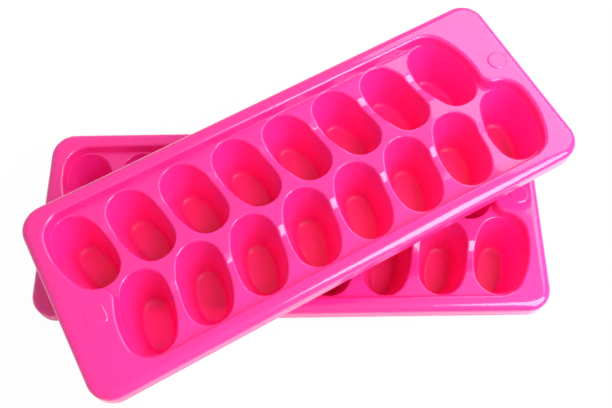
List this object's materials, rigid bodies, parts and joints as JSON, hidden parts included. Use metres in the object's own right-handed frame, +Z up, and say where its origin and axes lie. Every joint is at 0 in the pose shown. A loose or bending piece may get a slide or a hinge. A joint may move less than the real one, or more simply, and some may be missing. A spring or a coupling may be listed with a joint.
{
  "type": "ice cube tray pair",
  "caption": "Stacked pair of moulded ice cube trays with leaning oval pockets in two shifted rows, a sunk deck, weirs and a skirted rim.",
  "frame": {"origin": "middle of the pair's footprint, on the surface that the lower tray stands on", "axes": "+X along the lower tray's length, +Y across it, +Z up"},
  "size_m": [0.3194, 0.2406, 0.0766],
  "materials": {
    "pink_plastic": "glossy moulded plastic, slightly see-through"
  },
  "bodies": {
    "lower_tray": {"lower_tray": "pink_plastic"},
    "upper_tray": {"upper_tray": "pink_plastic"}
  },
  "joints": [
    {"name": "upper_lift", "type": "slide", "parent": "lower_tray", "child": "upper_tray", "axis": [0, 0, 1], "range_m": [0, 0.15]}
  ]
}
